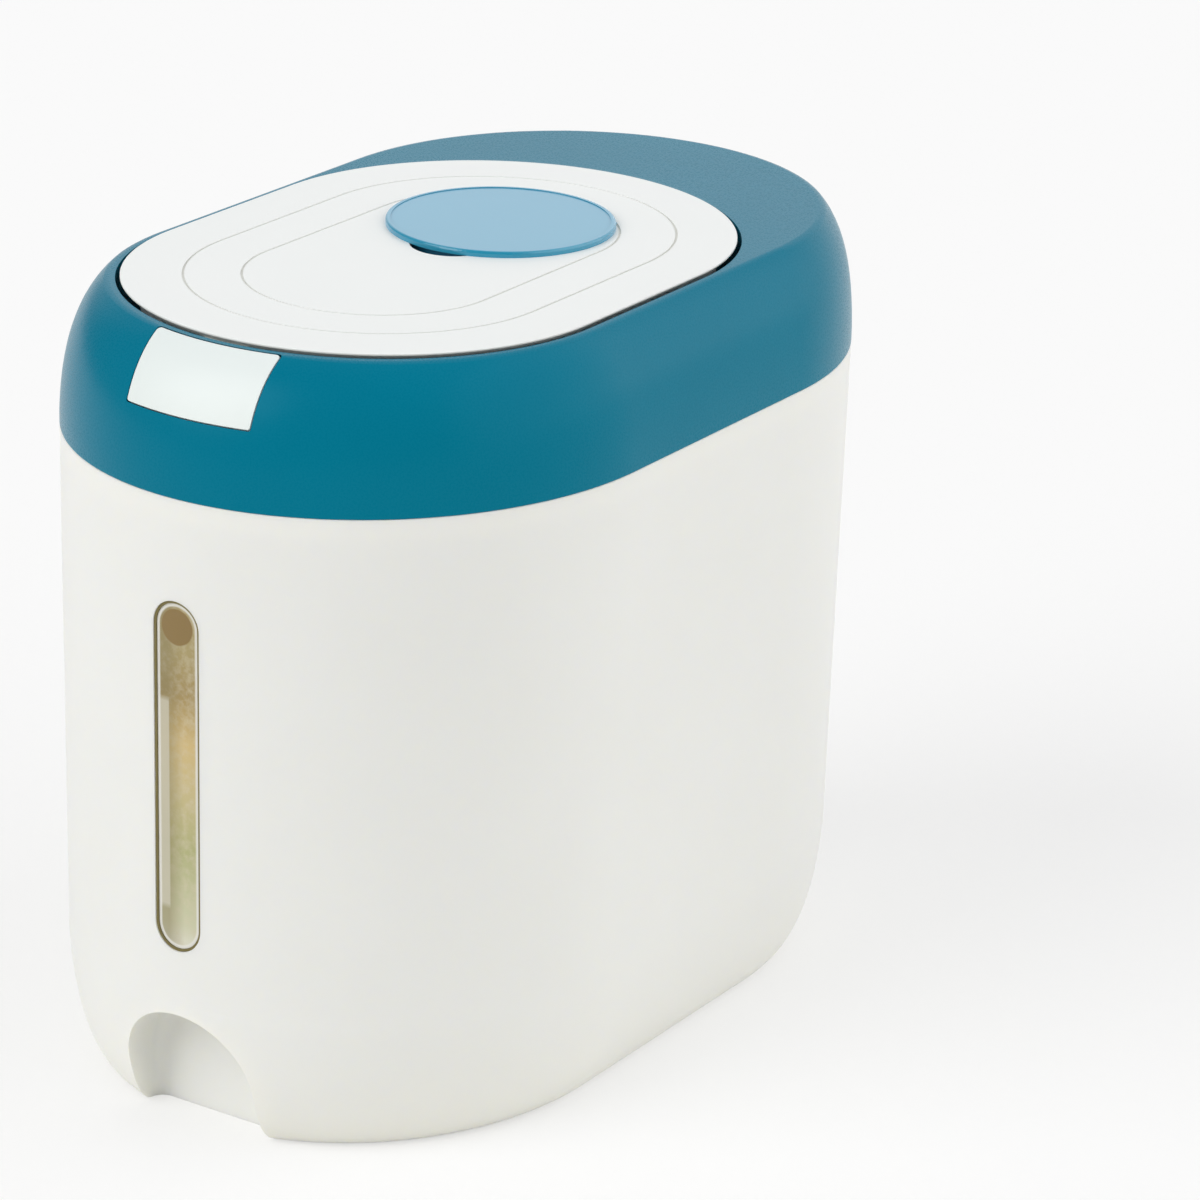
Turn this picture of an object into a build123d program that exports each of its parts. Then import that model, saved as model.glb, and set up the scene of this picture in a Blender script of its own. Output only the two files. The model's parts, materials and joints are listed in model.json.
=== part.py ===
from build123d import *
import math
import os

# Dry food container: a white bin with a level window, a blue collar, a flip lid that a
# press tile releases, and a round drying cap in the lid. Millimetres, +Z up, front at -Y,
# origin on the floor under the middle of the bin.

# Bin
LENGTH = 340.0              # front to back at the seam under the collar
WIDTH = 211.0               # side to side at the same seam
END_DEPTH = 115.5           # depth of each rounded end
SEAM_HEIGHT = 234.0
DRAFT = 2.5                 # each side draws in this much from seam to floor
FOOT_HEIGHT = 51.0          # height and inset of the curved foot
FOOT_INSET = 15.5
FOOT_STEPS = 7              # levels that carry the foot's curve
BODY_WALL = 2.6
FLOOR_WALL = 2.8
BASE_RECESS = 1.5
BASE_RIM = 9.0
BAND_HEIGHT = 8.0           # thick band of wall under the seam
SPIGOT_RISE = 16.0          # rim that stands up inside the collar
SPIGOT_INSET = 4.0
SPIGOT_WALL = 3.0
SNAP_BEAD = 0.8             # beads that hold the collar on the spigot
SNAP_HEIGHT = 1.6
SNAP_RISE = 6.0
SNAP_GAP = 0.4
RIM_SEAL_HEIGHT = 2.0
RIM_SEAL_WIDTH = 1.6
SEAM_ROUND = 0.5            # fine rounds that meet at the seam

# Finger notches at both ends
NOTCH_HALF = 26.5
NOTCH_SIDE = 20.0           # height of the straight sides under the arch
NOTCH_DEPTH = 26.5
NOTCH_ROUND = 5.0

# Level window
WINDOW_WIDTH = 19.0
WINDOW_DROP = 36.0          # window's top below the seam
WINDOW_BOTTOM = 70.5
GASKET_LIP = 0.9
GASKET_THICK = 1.0
GASKET_RECESS = 0.5
LENS_RECESS = 1.0
LENS_FLANGE = 3.2
LENS_FLANGE_THICK = 1.8
LENS_FIT = 0.05

# Lid
LID_END_DEPTH = 86.0
LID_SETBACK = 26.0          # lid front edge behind the bin's front
SIDE_SETBACK = 18.6         # lid side edges in from the bin's sides
REAR_DECK = 70.6            # lid rear edge before the bin's rear
LID_GAP = 1.6
LID_PROUD = 1.2
PANEL = 2.6
PANEL_ROUND = 0.4
PANEL_UNDERCUT = 1.9        # bevel under the lid's edge, which stays in shadow
RING_LINE_INSETS = (21.0, 41.0)
RING_LINE_WIDTH = 0.9
RING_LINE_DEPTH = 0.5
LINER_DEPTH = 8.9
LINER_INSET = 7.0
LINER_WALL = 2.0
LID_SEAL_HEIGHT = 2.0
LID_SEAL_WIDTH = 4.4
LID_SEAL_SEAT = 0.8
LID_BOSS_RADIUS = 3.2
LID_SCREW_INSET = 13.0
LID_SCREW_SIDE_SHARES = (-0.5, 0.5)
LID_SCREW_END_SHARE = 0.5

# Collar
COLLAR_RISE = 48.3
COLLAR_WALL = 2.5
DECK = 1.9
BULGE_SHARE = 0.76          # how high the shoulder stays steep
SIDE_RIM = 2.3
FRONT_RIM = 3.1
REAR_LEAN = 12.2
CREASE_FRONT_DEPTH = 89.0
CREASE_REAR_DEPTH = 96.0
CREASE_ROUND = 3.5
SKIRT_WALL = 1.8
COLLAR_SHARES = (0.0, 0.2, 0.4, 0.6, 0.8, 1.0)

# Inner frame
PLATE = 2.6
PLATE_INSET = 5.0
PLATE_FIT = 0.3
NECK_INSET = 20.0
NECK_WALL = 2.2
FRAME_BOSS_RADIUS = 3.5
FRAME_BOSS_INSET = 12.0     # boss centres in from the seam outline
FRAME_BOSS_END_SHARE = 0.5
FRAME_BOSS_REAR_INSET = 42.0

# Hinge
HINGE_BACK = 16.0           # pin behind the lid's rear edge
HINGE_DROP = 7.5            # pin below the lid's top
PIN_RADIUS = 2.0
PIN_FIT = 0.05
BARREL_RADIUS = 3.8
ARM_HALF = 13.0
ARM_CLEAR = 0.9             # room between the hook-shaped arm and the plate
ARM_THICK = 3.5
ARM_LEG = 4.0
ARM_REACH = 28.0
EAR_GAP = 11.0              # spring room between arm and ear
EAR_WIDTH = 4.5
PIN_END = 1.5
LID_SPRING_WIRE = 1.1
LID_SPRING_LEG_SHARE = 0.8  # leg as a share of the wire, so that it sits inside the coil
LID_SPRING_CLEAR = 0.6

# Catch and button
CATCH_HALF = 9.0
CATCH_THICK = 2.0
CATCH_SETBACK = 1.5
CATCH_DROP = 10.0
BARB_REACH = 4.7
BARB_HEIGHT = 5.2
BARB_TIP = 2.0
KEEPER_DROP = 1.0           # keeper edge below the top of the neck
KEEPER_GAP = 0.3
KEEPER_HALF = 11.0
KEEPER_HEIGHT = 10.0
BLOCK_HALF = 12.0
CATCH_SCREW_OUT = 5.0
BUTTON_WIDTH = 50.0
BUTTON_LOW_SHARE = 0.436    # where the tile starts and ends on the shoulder's curve
BUTTON_HIGH_SHARE = 1.0
BUTTON_GAP = 0.5
BUTTON_TOP_ROUND = 1.5
BUTTON_FOOT_ROUND = 1.0
BUTTON_SWEEP = 11.0         # depth swept clear for the tile behind the shoulder
PLUNGER_HALF = 5.0
PLUNGER_HEIGHT = 4.0
PLUNGER_GAP = 0.5
WING = 3.0
WING_THICK = 2.0
WING_LOW = -8.0
WING_HIGH = 2.0
BUTTON_SPRING_OUT = 16.0
BUTTON_SPRING_DROP = 4.0
BUTTON_SPRING_RADIUS = 3.2
BUTTON_SPRING_WIRE = 0.8
BOSS_DEPTH = 7.0
POST_DEPTH = 13.5
POST_MARGIN = 1.2

# Drying cap and cup
CAP_RADIUS = 40.8
CAP_FORWARD = 80.25         # cap centre before the lid's rear edge
CAP_THICK = 2.2
CAP_ROUND = 0.9
CAP_DISH_RIM = 1.8
CAP_DISH = 0.3
CAP_SKIRT_DEPTH = 9.0
CAP_SKIRT_WALL = 2.0
CUP_RADIUS = 36.5
CUP_WALL = 1.6
CUP_DEPTH = 24.0
CUP_FIT = 0.3
CUP_FLANGE = 1.9
CUP_FLANGE_THICK = 1.2
CUP_FLOOR = 1.6
VENT_RADIUS = 2.0
VENT_RING_SHARES = (0.3, 0.58, 0.84)
VENT_RING_COUNTS = (6, 12, 18)
CAP_SEAL_THICK = 1.8
CAP_SEAL_SEAT = 1.1
CAP_SEAL_GAP = 0.1
CAP_SEAL_DROP = 5.0
SCOOP_RADIUS = 15.0
SCOOP_REACH = 4.4           # scoop past the cap's edge
SCOOP_DEPTH = 6.0
SCOOP_WALL = 1.6

# Screws and shared clearances
SCREW_RADIUS = 1.4
SCREW_HEAD_RADIUS = 2.7
SCREW_HEAD = 1.6
SCREW_FIT = 0.05
SCREW_BITE = 6.0
OVERRUN = 60.0              # cuts run past what they cut by this much

# Places worked out from the sizes above
DECK_TOP = SEAM_HEIGHT + COLLAR_RISE
DECK_UNDER = DECK_TOP - DECK
LID_TOP = DECK_TOP + LID_PROUD
PANEL_UNDER = LID_TOP - PANEL
LINER_BOTTOM = PANEL_UNDER - LINER_DEPTH
LINER_FLOOR = LINER_BOTTOM + LINER_WALL
NECK_TOP = LINER_BOTTOM - LID_SEAL_HEIGHT
SPIGOT_TOP = SEAM_HEIGHT + SPIGOT_RISE
PLATE_UNDER = SPIGOT_TOP + RIM_SEAL_HEIGHT
PLATE_TOP = PLATE_UNDER + PLATE
LID_WIDTH = WIDTH - 2 * SIDE_SETBACK
LID_LENGTH = LENGTH - LID_SETBACK - REAR_DECK
LID_FRONT = LID_SETBACK - LENGTH / 2
LID_REAR = LID_FRONT + LID_LENGTH
HINGE_Y = LID_REAR + HINGE_BACK
HINGE_Z = LID_TOP - HINGE_DROP
ARM_THROAT = HINGE_Z - PLATE_TOP - ARM_CLEAR - ARM_THICK
EAR_INNER = ARM_HALF + EAR_GAP
EAR_OUTER = EAR_INNER + EAR_WIDTH
CAP_Y = LID_REAR - CAP_FORWARD
KEEPER_TOP = NECK_TOP - KEEPER_DROP
CATCH_FRONT = LID_FRONT + CATCH_SETBACK
CATCH_BACK = CATCH_FRONT + CATCH_THICK
FLOOR_TOP = BASE_RECESS + FLOOR_WALL
WINDOW_HEIGHT = SEAM_HEIGHT - WINDOW_DROP - WINDOW_BOTTOM
HALF_TURN = 180


def oval(half_width, front, rear, front_depth, rear_depth, height):
    """Flat face at one height: straight sides and half-ellipse ends."""
    side_front = front + front_depth
    side_rear = rear - rear_depth
    edges = [
        Line((half_width, side_front), (half_width, side_rear)),
        EllipticalCenterArc((0, side_rear), half_width, rear_depth, 0, arc_size=HALF_TURN),
        Line((-half_width, side_rear), (-half_width, side_front)),
        EllipticalCenterArc((0, side_front), half_width, front_depth, HALF_TURN, arc_size=HALF_TURN),
    ]
    return Pos(0, 0, height) * make_face(edges)


def sag(half_width, depth, across):
    """How far a half-ellipse end falls back at a distance from the middle."""
    return depth * (1 - math.sqrt(1 - (across / half_width) ** 2))


def bin_oval(inset, height):
    depth = END_DEPTH - inset
    return oval(WIDTH / 2 - inset, inset - LENGTH / 2, LENGTH / 2 - inset, depth, depth, height)


def lid_oval(inset, height):
    depth = LID_END_DEPTH - inset
    return oval(LID_WIDTH / 2 - inset, LID_FRONT + inset, LID_REAR - inset, depth, depth, height)


def prism(outline, inset, low, high):
    """Upright prism of an outline, drawn in by an inset, between two heights."""
    return extrude(outline(inset, low), high - low, dir=(0, 0, 1))


def band(outline, outer_inset, inner_inset, low, high):
    """Upright ring between two insets of an outline."""
    return prism(outline, outer_inset, low, high) - prism(outline, inner_inset, low, high)


def block(x_low, x_high, y_low, y_high, z_low, z_high):
    """Box between three pairs of limits."""
    size = (x_high - x_low, y_high - y_low, z_high - z_low)
    middle = ((x_low + x_high) / 2, (y_low + y_high) / 2, (z_low + z_high) / 2)
    return Pos(*middle) * Box(*size)


def rod(radius, x, y, low, high):
    """Upright cylinder between two heights."""
    return Pos(x, y, (low + high) / 2) * Cylinder(radius, high - low)


def cross_rod(radius, x_low, x_high, y, z):
    """Cylinder along X."""
    turned = Rot(0, 90, 0) * Cylinder(radius, x_high - x_low)
    return Pos((x_low + x_high) / 2, y, z) * turned


def bin_draft(height):
    return DRAFT * (1 - height / SEAM_HEIGHT)


def bin_wall_form(inset):
    """Solid inside the drafted wall, from the foot to the seam."""
    low = bin_oval(bin_draft(FOOT_HEIGHT) + inset, FOOT_HEIGHT)
    high = bin_oval(inset, SEAM_HEIGHT)
    return loft([low, high], ruled=True)


def bin_form(inset, floor):
    """Solid inside the bin's surface: a quarter-ellipse foot under the drafted wall."""
    sections = []
    for step in range(FOOT_STEPS + 1):
        angle = math.pi / 2 * step / FOOT_STEPS
        height = floor + (FOOT_HEIGHT - floor) * (1 - math.cos(angle))
        drawn_in = FOOT_INSET * (1 - math.sin(angle)) + bin_draft(height)
        sections.append(bin_oval(drawn_in + inset, height))
    return loft(sections) + bin_wall_form(inset)


def notch(grow):
    """Arched finger notch at the front, grown by a wall, with rounded inner corners."""
    half = NOTCH_HALF + grow
    outline = [
        Line((-half, -OVERRUN), (half, -OVERRUN)),
        Line((half, -OVERRUN), (half, NOTCH_SIDE)),
        CenterArc((0, NOTCH_SIDE), half, 0, HALF_TURN),
        Line((-half, NOTCH_SIDE), (-half, -OVERRUN)),
    ]
    arch = Plane.XZ * make_face(outline)
    back = NOTCH_DEPTH - LENGTH / 2 + grow
    solid = Pos(0, back, 0) * extrude(arch, OVERRUN, dir=(0, -1, 0))
    rear_edges = solid.faces().sort_by(Axis.Y)[-1].edges()
    upper = rear_edges.filter_by(lambda edge: edge.center().Z > -OVERRUN / 2)
    return fillet(upper, NOTCH_ROUND)


def both_ends(solid):
    """The same cut at the front and at the rear."""
    return solid + Rot(0, 0, HALF_TURN) * solid


def window_prism(grow):
    """Upright stadium through the front wall, grown all round."""
    height = WINDOW_HEIGHT + 2 * grow
    outline = Plane.XZ * (Rot(0, 0, 90) * SlotOverall(height, WINDOW_WIDTH + 2 * grow))
    middle = WINDOW_BOTTOM + WINDOW_HEIGHT / 2
    reach = extrude(outline, OVERRUN, both=True)
    return Pos(0, -LENGTH / 2, middle) * reach


def wall_skin(outer_inset, inner_inset):
    """Curved sheet that follows the bin's wall between two insets."""
    return bin_wall_form(outer_inset) - bin_wall_form(inner_inset)


def make_bin_body():
    spigot_inner = SPIGOT_INSET + SPIGOT_WALL
    band_low = SEAM_HEIGHT - BAND_HEIGHT
    bead_low = SEAM_HEIGHT + SNAP_RISE
    bead = band(bin_oval, SPIGOT_INSET - SNAP_BEAD, spigot_inner, bead_low, bead_low + SNAP_HEIGHT)
    outside = bin_form(0, 0)
    outside = fillet(outside.faces().sort_by(Axis.Z)[-1].edges(), SEAM_ROUND)
    outside = outside + prism(bin_oval, SPIGOT_INSET, SEAM_HEIGHT, SPIGOT_TOP) + bead
    below_band = bin_form(BODY_WALL, FLOOR_TOP)
    below_band = below_band - prism(bin_oval, -OVERRUN, band_low, SPIGOT_TOP)
    hollow = below_band - both_ends(notch(BODY_WALL))
    base_inset = DRAFT + FOOT_INSET + BASE_RIM
    body = outside - hollow - prism(bin_oval, spigot_inner, band_low, SPIGOT_TOP + OVERRUN)
    body = body - both_ends(notch(0)) - window_prism(0)
    return body - (prism(bin_oval, base_inset, 0, BASE_RECESS) - both_ends(notch(BODY_WALL)))


def make_window_lens():
    core_grow = -GASKET_LIP - 2 * LENS_FIT
    flange_outer = BODY_WALL + GASKET_THICK
    flange_inner = flange_outer + LENS_FLANGE_THICK
    core = window_prism(core_grow) & wall_skin(LENS_RECESS, flange_inner)
    flange = window_prism(LENS_FLANGE) & wall_skin(flange_outer, flange_inner)
    return core + flange


def make_window_gasket():
    inside = window_prism(-GASKET_LIP - LENS_FIT)
    seat_inner = BODY_WALL + GASKET_THICK
    seat = window_prism(LENS_FLANGE) & wall_skin(BODY_WALL + LENS_FIT, seat_inner)
    lip = window_prism(-LENS_FIT) & wall_skin(GASKET_RECESS, seat_inner)
    return seat + lip - inside


def make_rim_seal():
    outer = PLATE_INSET
    return band(bin_oval, outer, outer + RIM_SEAL_WIDTH, SPIGOT_TOP, PLATE_UNDER)


def shoulder(share):
    """Rise and lean of the shoulder's curve, as shares of its height and of its lean."""
    rise = 2 * share * (1 - share) * BULGE_SHARE + share ** 2
    return rise, share ** 2


def crease_half():
    return LID_WIDTH / 2 + LID_GAP + SIDE_RIM


def crease_front():
    return LID_FRONT - LID_GAP - FRONT_RIM


def collar_section(share, inset, deck):
    """One level of the shoulder, between the seam outline and the crease round the deck."""
    rise, lean = shoulder(share)
    half = WIDTH / 2 + (crease_half() - WIDTH / 2) * lean - inset
    front = -LENGTH / 2 + (crease_front() + LENGTH / 2) * lean + inset
    rear = LENGTH / 2 - REAR_LEAN * lean - inset
    front_depth = END_DEPTH + (CREASE_FRONT_DEPTH - END_DEPTH) * lean - inset
    rear_depth = END_DEPTH + (CREASE_REAR_DEPTH - END_DEPTH) * lean - inset
    height = SEAM_HEIGHT + (COLLAR_RISE - deck) * rise
    return oval(half, front, rear, front_depth, rear_depth, height)


def collar_form(inset, deck):
    """Solid inside the shoulder, drawn in by an inset and lowered by a deck thickness."""
    return loft([collar_section(share, inset, deck) for share in COLLAR_SHARES])


def collar_outside():
    """The shoulder's outer form, with its soft crease round the deck and a fine round at the seam."""
    form = collar_form(0, 0)
    form = fillet(form.faces().sort_by(Axis.Z)[-1].edges(), CREASE_ROUND)
    return fillet(form.faces().sort_by(Axis.Z)[0].edges(), SEAM_ROUND)


def front_point(share):
    """Point on the shoulder's front middle line, as (y, z)."""
    rise, lean = shoulder(share)
    return -LENGTH / 2 + (crease_front() + LENGTH / 2) * lean, SEAM_HEIGHT + COLLAR_RISE * rise


def button_plane():
    """Plane of the tile: local Y runs up the slope and local Z points outwards."""
    low_y, low_z = front_point(BUTTON_LOW_SHARE)
    high_y, high_z = front_point(BUTTON_HIGH_SHARE)
    middle = (0, (low_y + high_y) / 2, (low_z + high_z) / 2)
    outwards = (0, low_z - high_z, high_y - low_y)
    return Plane(origin=middle, x_dir=(1, 0, 0), z_dir=outwards)


def button_height():
    low_y, low_z = front_point(BUTTON_LOW_SHARE)
    high_y, high_z = front_point(BUTTON_HIGH_SHARE)
    return math.hypot(high_y - low_y, high_z - low_z)


def button_outline(grow):
    """Tile outline on its plane: upper and lower edges bow with the collar's front."""
    half = BUTTON_WIDTH / 2 + grow
    up_slope = button_plane().y_dir.Y
    top_bow = sag(crease_half(), CREASE_FRONT_DEPTH, half) * up_slope
    foot_bow = sag(WIDTH / 2, END_DEPTH, half) * up_slope
    top = button_height() / 2 + grow
    foot = -top
    edges = [
        Line((half, foot + foot_bow), (half, top + top_bow)),
        ThreePointArc((half, top + top_bow), (0, top), (-half, top + top_bow)),
        Line((-half, top + top_bow), (-half, foot + foot_bow)),
        ThreePointArc((-half, foot + foot_bow), (0, foot), (half, foot + foot_bow)),
    ]
    face = make_face(edges)
    corners = face.vertices().sort_by(Axis.Y)
    face = fillet(corners[:2], BUTTON_FOOT_ROUND)
    return fillet(face.vertices().sort_by(Axis.Y)[-2:], BUTTON_TOP_ROUND)


def button_prism(grow, depth):
    """Tile outline carried along the press direction, from well outside to a depth."""
    sketch = button_plane() * Pos(0, 0, -depth) * button_outline(grow)
    return extrude(sketch, depth + OVERRUN, dir=button_plane().z_dir)


def frame_screw_places():
    """Six screws between frame and collar: two at the sides, two in front, two behind."""
    half = WIDTH / 2 - FRAME_BOSS_INSET
    across = half * FRAME_BOSS_END_SHARE
    depth = END_DEPTH - FRAME_BOSS_INSET
    front = -LENGTH / 2 + FRAME_BOSS_INSET + sag(half, depth, across)
    rear = LENGTH / 2 - FRAME_BOSS_REAR_INSET
    places = []
    for side in (-1, 1):
        places.append((side * half, 0))
        places.append((side * across, front))
        places.append((side * across, rear))
    return places


def make_collar(outside):
    inside = collar_form(COLLAR_WALL, DECK)
    opening = prism(lid_oval, -LID_GAP, PLATE_TOP, DECK_TOP + OVERRUN)
    skirt = band(lid_oval, -LID_GAP - SKIRT_WALL, -LID_GAP, PLATE_TOP + PLATE_FIT, DECK_UNDER)
    rear_room = block(-EAR_OUTER - PIN_END - SKIRT_WALL, EAR_OUTER + PIN_END + SKIRT_WALL,
                      CAP_Y, LENGTH / 2, PLATE_TOP, DECK_UNDER)
    keeper_low = KEEPER_TOP - KEEPER_HEIGHT
    keeper = block(-KEEPER_HALF, KEEPER_HALF, -LENGTH / 2, CATCH_BACK, keeper_low, KEEPER_TOP)
    skirt = skirt - rear_room - keeper
    bead_low = SEAM_HEIGHT + SNAP_RISE + SNAP_HEIGHT + SNAP_GAP
    bead_inner = SPIGOT_INSET - SNAP_GAP
    bead = band(bin_oval, COLLAR_WALL - SNAP_BEAD, bead_inner, bead_low, bead_low + SNAP_HEIGHT)
    collar = outside - inside - opening + skirt + bead
    for x, y in frame_screw_places():
        boss = rod(FRAME_BOSS_RADIUS, x, y, PLATE_TOP, DECK_TOP) & outside
        collar = collar + (boss - opening)
    for x, y in frame_screw_places():
        collar = collar - rod(SCREW_RADIUS + SCREW_FIT, x, y, PLATE_TOP, PLATE_TOP + SCREW_BITE)
    return collar - button_prism(BUTTON_GAP, BUTTON_SWEEP)


def make_ear(side):
    """Upright with a round top that carries one end of the hinge pin."""
    inner = side * EAR_INNER
    outer = side * EAR_OUTER
    low, high = min(inner, outer), max(inner, outer)
    post = block(low, high, HINGE_Y - BARREL_RADIUS, HINGE_Y + BARREL_RADIUS, PLATE_TOP, HINGE_Z)
    return post + cross_rod(BARREL_RADIUS, low, high, HINGE_Y, HINGE_Z)


def make_spring_post(side):
    """Wedge on the plate whose sloping face backs one button spring."""
    plane = button_plane()
    face = plane * Pos(side * BUTTON_SPRING_OUT, -BUTTON_SPRING_DROP, -POST_DEPTH)
    seat = face.position
    reach = BUTTON_SPRING_RADIUS + POST_MARGIN
    rise = reach * plane.y_dir.Z
    run = reach * plane.y_dir.Y
    solid = block(seat.X - reach, seat.X + reach, seat.Y - run, seat.Y + run, PLATE_TOP, seat.Z + rise)
    room = face * Pos(0, 0, OVERRUN / 2) * Box(OVERRUN, OVERRUN, OVERRUN)
    return solid - room


def make_top_frame():
    plate = prism(bin_oval, PLATE_INSET, PLATE_UNDER, PLATE_TOP)
    neck = prism(lid_oval, NECK_INSET, PLATE_TOP, NECK_TOP)
    frame = plate + neck - prism(lid_oval, NECK_INSET + NECK_WALL, PLATE_UNDER, NECK_TOP)
    for side in (-1, 1):
        frame = frame + make_ear(side) + make_spring_post(side)
    frame = frame - cross_rod(PIN_RADIUS + PIN_FIT, -EAR_OUTER, EAR_OUTER, HINGE_Y, HINGE_Z)
    for x, y in frame_screw_places():
        frame = frame - rod(SCREW_RADIUS + SCREW_FIT, x, y, PLATE_UNDER, PLATE_TOP)
    return frame


def screw(length):
    """Pan-head screw that points up, with its head's underside at zero."""
    head = rod(SCREW_HEAD_RADIUS, 0, 0, -SCREW_HEAD, 0)
    head = chamfer(head.edges().sort_by(Axis.Z)[0], SCREW_HEAD / 2)
    return head + rod(SCREW_RADIUS, 0, 0, 0, length)


def make_frame_screws():
    length = PLATE + SCREW_BITE - SCREW_FIT
    screws = [Pos(x, y, PLATE_UNDER) * screw(length) for x, y in frame_screw_places()]
    return Compound(screws)


def make_hinge_pin():
    end = EAR_OUTER + PIN_END
    pin = cross_rod(PIN_RADIUS, -end, end, HINGE_Y, HINGE_Z)
    return chamfer(pin.edges().filter_by(GeomType.CIRCLE), PIN_RADIUS / 4)


def coil_sleeve(radius, wire, length):
    """Close-wound coil along Z from zero, as the tube that its turns fill."""
    return rod(radius + wire / 2, 0, 0, 0, length) - rod(radius - wire / 2, 0, 0, 0, length)


def make_lid_spring(side):
    """Torsion spring round the pin, with a leg that stands on the plate."""
    radius = PIN_RADIUS + LID_SPRING_CLEAR + LID_SPRING_WIRE / 2
    length = EAR_GAP - LID_SPRING_CLEAR
    start = ARM_HALF + LID_SPRING_CLEAR / 2
    coil = Rot(0, 90, 0) * coil_sleeve(radius, LID_SPRING_WIRE, length)
    coil = Pos(start, HINGE_Y, HINGE_Z) * coil
    leg_x = start + length - LID_SPRING_WIRE / 2
    leg_radius = LID_SPRING_LEG_SHARE * LID_SPRING_WIRE / 2
    leg = rod(leg_radius, leg_x, HINGE_Y + radius, PLATE_TOP, HINGE_Z)
    spring = coil + leg
    if side < 0:
        spring = mirror(spring, Plane.YZ)
    return spring


def lid_screw_places():
    """Six screws between liner and panel, on a line outside the seal."""
    half = LID_WIDTH / 2 - LID_SCREW_INSET
    depth = LID_END_DEPTH - LID_SCREW_INSET
    straight = LID_LENGTH - 2 * LID_END_DEPTH
    middle = (LID_FRONT + LID_REAR) / 2
    across = half * LID_SCREW_END_SHARE
    front = LID_FRONT + LID_SCREW_INSET + sag(half, depth, across)
    places = []
    for side in (-1, 1):
        for share in LID_SCREW_SIDE_SHARES:
            places.append((side * half, middle + share * straight))
        places.append((side * across, front))
    return places


def make_lid_panel():
    panel = prism(lid_oval, 0, PANEL_UNDER, LID_TOP)
    panel = fillet(panel.faces().sort_by(Axis.Z)[-1].edges(), PANEL_ROUND)
    panel = chamfer(panel.faces().sort_by(Axis.Z)[0].edges(), PANEL_UNDERCUT)
    for inset in RING_LINE_INSETS:
        line_low = LID_TOP - RING_LINE_DEPTH
        panel = panel - band(lid_oval, inset, inset + RING_LINE_WIDTH, line_low, LID_TOP + PANEL)
    scoop_y = CAP_Y - CAP_RADIUS - SCOOP_REACH + SCOOP_RADIUS
    scoop_floor = LID_TOP - SCOOP_DEPTH
    cup_hole = CUP_RADIUS + CUP_FIT
    rebate = cup_hole + CUP_FLANGE
    panel = panel + rod(SCOOP_RADIUS + SCOOP_WALL, 0, scoop_y, scoop_floor - SCOOP_WALL, PANEL_UNDER)
    scoop = rod(SCOOP_RADIUS, 0, scoop_y, scoop_floor, LID_TOP + PANEL)
    panel = panel - fillet(scoop.edges().sort_by(Axis.Z)[0], SCOOP_WALL)
    for x, y in lid_screw_places():
        panel = panel + rod(LID_BOSS_RADIUS, x, y, LINER_FLOOR, PANEL_UNDER)
        panel = panel - rod(SCREW_RADIUS + SCREW_FIT, x, y, LINER_FLOOR, LINER_FLOOR + SCREW_BITE)
    panel = panel - rod(cup_hole, 0, CAP_Y, LINER_BOTTOM, LID_TOP + PANEL)
    return panel - rod(rebate, 0, CAP_Y, LID_TOP - CUP_FLANGE_THICK, LID_TOP + PANEL)


def make_arm():
    """Hook-shaped hinge arm: down from the barrel, forward under the deck, up to the liner."""
    low = -ARM_THROAT - ARM_THICK
    back = BARREL_RADIUS - ARM_THICK / 2
    front = -ARM_REACH
    liner = LINER_FLOOR - HINGE_Z
    points = [
        (back, 0), (-back, 0), (-back, -ARM_THROAT), (front + ARM_LEG, -ARM_THROAT),
        (front + ARM_LEG, liner), (front, liner), (front, low), (back, low),
    ]
    outline = make_face(Polyline(*points, close=True))
    corners = outline.vertices().sort_by(Axis.Y)
    outline = fillet(corners[:2], ARM_THICK / 2)
    profile = Plane.YZ * outline
    arm = Pos(0, HINGE_Y, HINGE_Z) * extrude(profile, ARM_HALF, both=True)
    arm = arm + cross_rod(BARREL_RADIUS, -ARM_HALF, ARM_HALF, HINGE_Y, HINGE_Z)
    return arm - cross_rod(PIN_RADIUS + PIN_FIT, -ARM_HALF, ARM_HALF, HINGE_Y, HINGE_Z)


def catch_screw_height():
    return (LINER_BOTTOM + PANEL_UNDER) / 2


def make_lid_liner():
    inner = LINER_INSET + LINER_WALL
    pan = prism(lid_oval, LINER_INSET, LINER_BOTTOM, PANEL_UNDER)
    pan = pan - prism(lid_oval, inner, LINER_FLOOR, PANEL_UNDER)
    block_back = LID_FRONT + inner + CATCH_THICK
    catch_block = block(-BLOCK_HALF, BLOCK_HALF, CATCH_BACK, block_back, LINER_BOTTOM, PANEL_UNDER)
    liner = pan + catch_block + make_arm()
    seal_middle = NECK_INSET + NECK_WALL / 2
    outer = seal_middle - LID_SEAL_WIDTH / 2
    liner = liner - band(lid_oval, outer, outer + LID_SEAL_WIDTH, LINER_BOTTOM, LINER_BOTTOM + LID_SEAL_SEAT)
    liner = liner - rod(CUP_RADIUS + CUP_FIT, 0, CAP_Y, LINER_BOTTOM, PANEL_UNDER)
    for x, y in lid_screw_places():
        liner = liner - rod(SCREW_RADIUS + SCREW_FIT, x, y, LINER_BOTTOM, LINER_FLOOR)
    for side in (-1, 1):
        hole = Plane.XZ * Cylinder(SCREW_RADIUS + SCREW_FIT, 2 * SCREW_BITE)
        liner = liner - Pos(side * CATCH_SCREW_OUT, CATCH_BACK, catch_screw_height()) * hole
    return liner


def make_lid_seal():
    outer = NECK_INSET + NECK_WALL / 2 - LID_SEAL_WIDTH / 2
    return band(lid_oval, outer, outer + LID_SEAL_WIDTH, NECK_TOP, LINER_BOTTOM + LID_SEAL_SEAT)


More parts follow.
